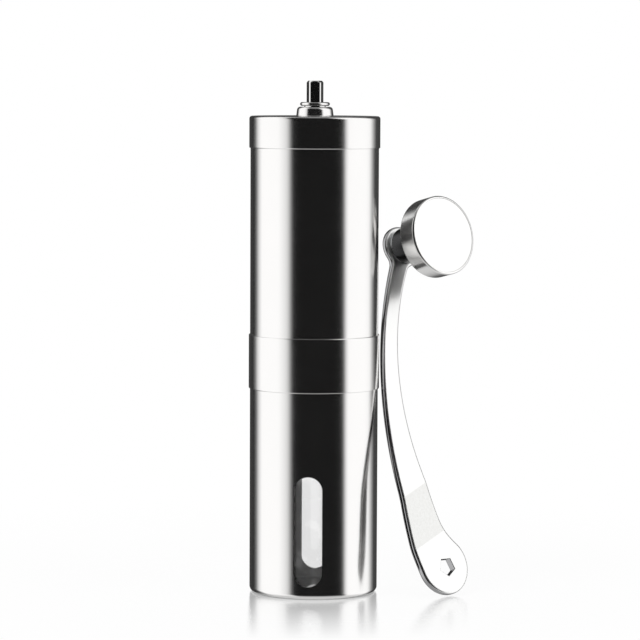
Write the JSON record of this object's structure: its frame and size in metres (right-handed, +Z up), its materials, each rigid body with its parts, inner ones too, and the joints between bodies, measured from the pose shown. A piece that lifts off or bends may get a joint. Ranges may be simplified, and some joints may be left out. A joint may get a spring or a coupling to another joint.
{
  "type": "hand crank coffee grinder",
  "caption": "Slim steel tube coffee grinder with windowed catch cup, joint band, lid, five-sided drive head and a detached sickle crank with round knob leaning on it.",
  "frame": {"origin": "centre of the catch cup's base, on the grinder's axis", "axes": "+Z up along the drive shaft; +X towards the side where the crank leans; -Y towards the front window"},
  "size_m": [0.084, 0.0601, 0.1898],
  "materials": {
    "body_steel": "fine brushed round the axis",
    "clear_liner": "clear",
    "black_plastic": "fine moulded texture",
    "burr_ceramic": "fired ceramic, satin",
    "hardware_steel": "turned",
    "bush_plastic": "natural",
    "shaft_steel": "polished",
    "insert_brass": "machined",
    "arm_steel": "polished plate with rounded edges",
    "knob_steel": "satin"
  },
  "bodies": {
    "cup": {"catch_cup": "body_steel", "cup_liner": "clear_liner"},
    "upper": {"joint_band": "body_steel", "hopper_tube": "body_steel", "burr_carrier": "black_plastic", "ring_burr": "burr_ceramic", "burr_retainer": "black_plastic", "retainer_screws": "hardware_steel", "upper_bridge": "black_plastic", "upper_bush": "bush_plastic", "lower_bush": "bush_plastic"},
    "lid_set": {"lid": "body_steel", "lid_liner": "black_plastic"},
    "shaft": {"drive_shaft": "shaft_steel", "shaft_clip": "hardware_steel"},
    "burr_set": {"burr_spring": "hardware_steel", "spring_washer": "hardware_steel", "cone_burr": "burr_ceramic", "click_plate": "hardware_steel"},
    "adjuster": {"adjuster_knob": "black_plastic", "adjuster_insert": "insert_brass"},
    "crank": {"crank_arm": "arm_steel", "knob_pin": "hardware_steel", "pin_washer": "hardware_steel"},
    "knob": {"knob_core": "black_plastic", "knob_shell": "knob_steel", "knob_face": "knob_steel"}
  },
  "joints": [
    {"name": "body_lift", "type": "slide", "parent": "cup", "child": "upper", "axis": [0, 0, 1], "range_m": [0, 0.07]},
    {"name": "lid_lift", "type": "slide", "parent": "upper", "child": "lid_set", "axis": [0, 0, 1], "range_m": [0, 0.04]},
    {"name": "shaft_spin", "type": "hinge", "parent": "upper", "child": "shaft", "pos_m": [0, 0, 0.1], "axis": [0, 0, 1], "continuous": true},
    {"name": "burr_shift", "type": "slide", "parent": "shaft", "child": "burr_set", "axis": [0, 0, 1], "range_m": [-0.0016, 0], "deforming": ["burr_spring"]},
    {"name": "adjuster_turn", "type": "hinge", "parent": "burr_set", "child": "adjuster", "pos_m": [0, 0, 0.066], "axis": [0, 0, 1], "range_deg": [0, 720]},
    {"name": "crank_lift", "type": "slide", "parent": "cup", "child": "crank", "axis": [0, 0, 1], "range_m": [0, 0.1]},
    {"name": "knob_spin", "type": "hinge", "parent": "crank", "child": "knob", "pos_m": [0.0336, 0.02837, 0.12721], "axis": [0.6203, -0.7523, 0.2221], "continuous": true}
  ],
  "couplings": [
    {"joint": "adjuster_turn", "follows": "burr_shift", "rad_per_m": -7854}
  ]
}
